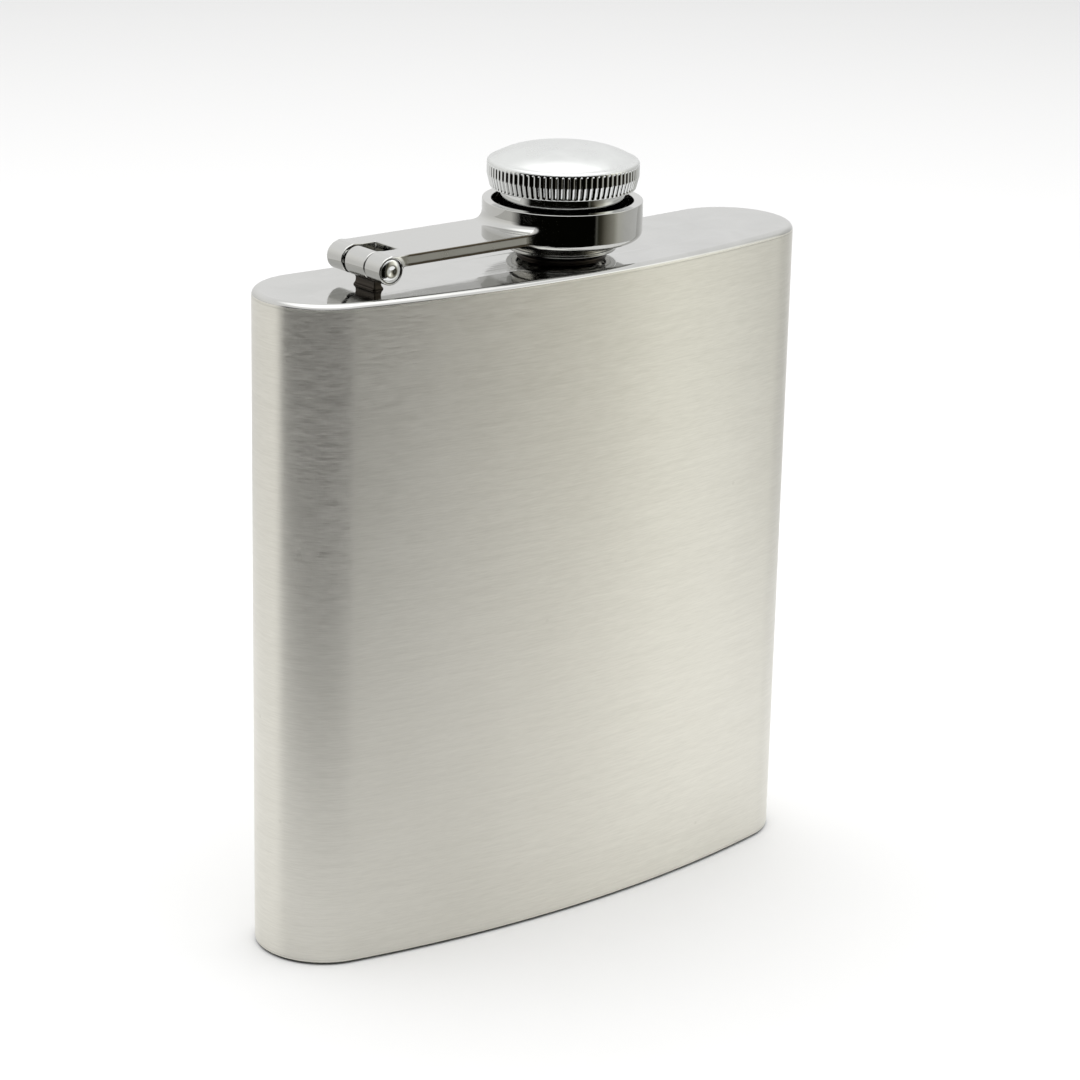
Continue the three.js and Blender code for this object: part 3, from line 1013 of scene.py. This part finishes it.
def paper_with_painted_falloff():
    """Matt pale paper, its colour painted darker towards the back as painted light fall-off.
    """
    s = Surface("pale_floor_painted_falloff", 0.0, 0.9, PAPER)
    s.shader.inputs["Specular IOR Level"].default_value = 0.1
    distance = s.nodes.new("ShaderNodeVectorMath")
    distance.operation = "LENGTH"
    s.links.new(s.place, distance.inputs[0])
    # Painted light fall-off: the paper's colour darkens with distance from the middle.
    near, far = 0.3, 1.0
    s.tint(s.spread(distance.outputs["Value"], 0, 1, near, far), PAPER, (0.54, 0.54, 0.54))
    return s.material


def flat_object(name, points, material):
    """One flat face as a piece of the studio."""
    mesh = bpy.data.meshes.new(name)
    mesh.from_pydata(points, [], [tuple(range(len(points)))])
    mesh.materials.append(material)
    flat = bpy.data.objects.new(name, mesh)
    bpy.context.scene.collection.objects.link(flat)
    return flat


def make_floor():
    """A wide pale floor, and the smaller sheet of it that the metal mirrors.

    The sheet has a straight near edge, as a table has, so polished steel shows
    the dark room beyond it.
    """
    reach = 6.0
    sheet = 200 * MM
    lift = 0.02 * MM
    paper = paper_with_painted_falloff()
    square = [(-reach, -reach, 0), (reach, -reach, 0), (reach, reach, 0), (-reach, reach, 0)]
    near_edge = 115 * MM
    cut = math.acos(near_edge / sheet)
    rim = arc_points(0, 0, sheet, OPENING + cut, OPENING - cut + 2 * math.pi, 96)
    disc = [(x, y, lift) for x, y in rim]
    floor = flat_object("floor", square, paper)
    floor.visible_glossy = False
    mirrored = flat_object("mirrored_floor", disc, paper)
    mirrored.visible_camera = False
    mirrored.visible_diffuse = False
    mirrored.visible_shadow = False
    mirrored.visible_transmission = False


def make_world():
    """A white tent, brighter overhead, open to a dark room on the near side.

    The tent's wall is a ramp of (degrees from the opening's middle, light).
    """
    wall = [
        (-180, (1, 1, 1)),
        (-76, (1, 0.99, 0.96)),
        (-60, (0.002, 0.002, 0.001)),
        (50, (0.002, 0.002, 0.001)),
        (52.5, (0.15, 0.15, 0.13)),
        (55, (0.03, 0.03, 0.02)),
        (60, (0.06, 0.055, 0.04)),
        (67, (0.19, 0.18, 0.145)),
        (81, (0.4, 0.39, 0.335)),
        (90, (0.7, 0.695, 0.63)),
        (105, (0.73, 0.73, 0.7)),
        (140, (0.78, 0.78, 0.77)),
        (160, (1, 1, 1)),
    ]
    world = bpy.data.worlds.new("studio")
    bpy.context.scene.world = world
    world.use_nodes = True
    nodes, links = world.node_tree.nodes, world.node_tree.links
    background = nodes["Background"]
    split = nodes.new("ShaderNodeSeparateXYZ")
    links.new(nodes.new("ShaderNodeTexCoord").outputs["Generated"], split.inputs["Vector"])
    x, y, z = (split.outputs[axis] for axis in "XYZ")

    def calculate(operation, *values):
        node = nodes.new("ShaderNodeMath")
        node.operation = operation
        for socket, value in zip(node.inputs, values):
            if isinstance(value, (int, float)):
                socket.default_value = value
            else:
                links.new(value, socket)
        return node.outputs["Value"]

    def smooth_step(value, start, end, low, high):
        node = nodes.new("ShaderNodeMapRange")
        node.interpolation_type = "SMOOTHSTEP"
        numbers = {"From Min": start, "From Max": end, "To Min": low, "To Max": high}
        for socket, number in numbers.items():
            node.inputs[socket].default_value = number
        links.new(value, node.inputs["Value"])
        return node.outputs["Result"]

    def along(angle):
        level_x = calculate("MULTIPLY", x, math.cos(angle))
        level_y = calculate("MULTIPLY", y, math.sin(angle))
        return calculate("ADD", level_x, level_y)

    turn = calculate("ARCTAN2", along(OPENING + math.pi / 2), along(OPENING))
    ramp = nodes.new("ShaderNodeValToRGB")
    stops = ramp.color_ramp.elements
    while len(stops) < len(wall):
        stops.new(0.5)
    for stop, (degrees, light) in zip(stops, wall):
        stop.position = 0.5 + degrees / 360
        stop.color = (*light, 1)
    links.new(calculate("MULTIPLY_ADD", turn, 0.5 / math.pi, 0.5), ramp.inputs["Fac"])
    mix = nodes.new("ShaderNodeMix")
    mix.data_type = "RGBA"
    links.new(smooth_step(z, 0.3, 0.6, 0, 1), mix.inputs["Factor"])
    links.new(ramp.outputs["Color"], mix.inputs["A"])
    mix.inputs["B"].default_value = (1, 1, 1, 1)
    links.new(mix.outputs["Result"], background.inputs["Color"])
    tent = smooth_step(z, -0.1, 0.5, 0.85, 1.08)
    lamps = smooth_step(z, 0.72, 0.96, 0, 1.2)
    side_turn = OPENING + math.radians(86)
    side_rise = math.radians(14)
    towards_side = calculate(
        "ADD",
        calculate("MULTIPLY", along(side_turn), math.cos(side_rise)),
        calculate("MULTIPLY", z, math.sin(side_rise)),
    )
    side_lamp = smooth_step(towards_side, 0.9, 0.98, 0, 1.0)
    light = calculate("ADD", calculate("ADD", tent, lamps), side_lamp)
    links.new(light, background.inputs["Strength"])


def make_camera():
    """From the left front, a little above."""
    azimuth = math.radians(-39.22)
    elevation = math.radians(18.28)
    roll = math.radians(1.27)
    distance = 490 * MM
    target = Vector((0.1 * MM, 0, 53.5 * MM))
    back = Vector(
        (
            math.sin(azimuth) * math.cos(elevation),
            -math.cos(azimuth) * math.cos(elevation),
            math.sin(elevation),
        )
    )
    data = bpy.data.cameras.new("camera")
    data.sensor_width = 36
    data.lens = 113.29
    camera = bpy.data.objects.new("camera", data)
    bpy.context.scene.collection.objects.link(camera)
    level = (-back).to_track_quat("-Z", "Y").to_matrix()
    camera.matrix_world = Matrix.Translation(target + back * distance) @ (
        level @ Matrix.Rotation(roll, 3, "Z")
    ).to_4x4()
    bpy.context.scene.camera = camera


bpy.context.scene.view_settings.view_transform = "Standard"
make_camera()
make_floor()
make_world()
build_flask()
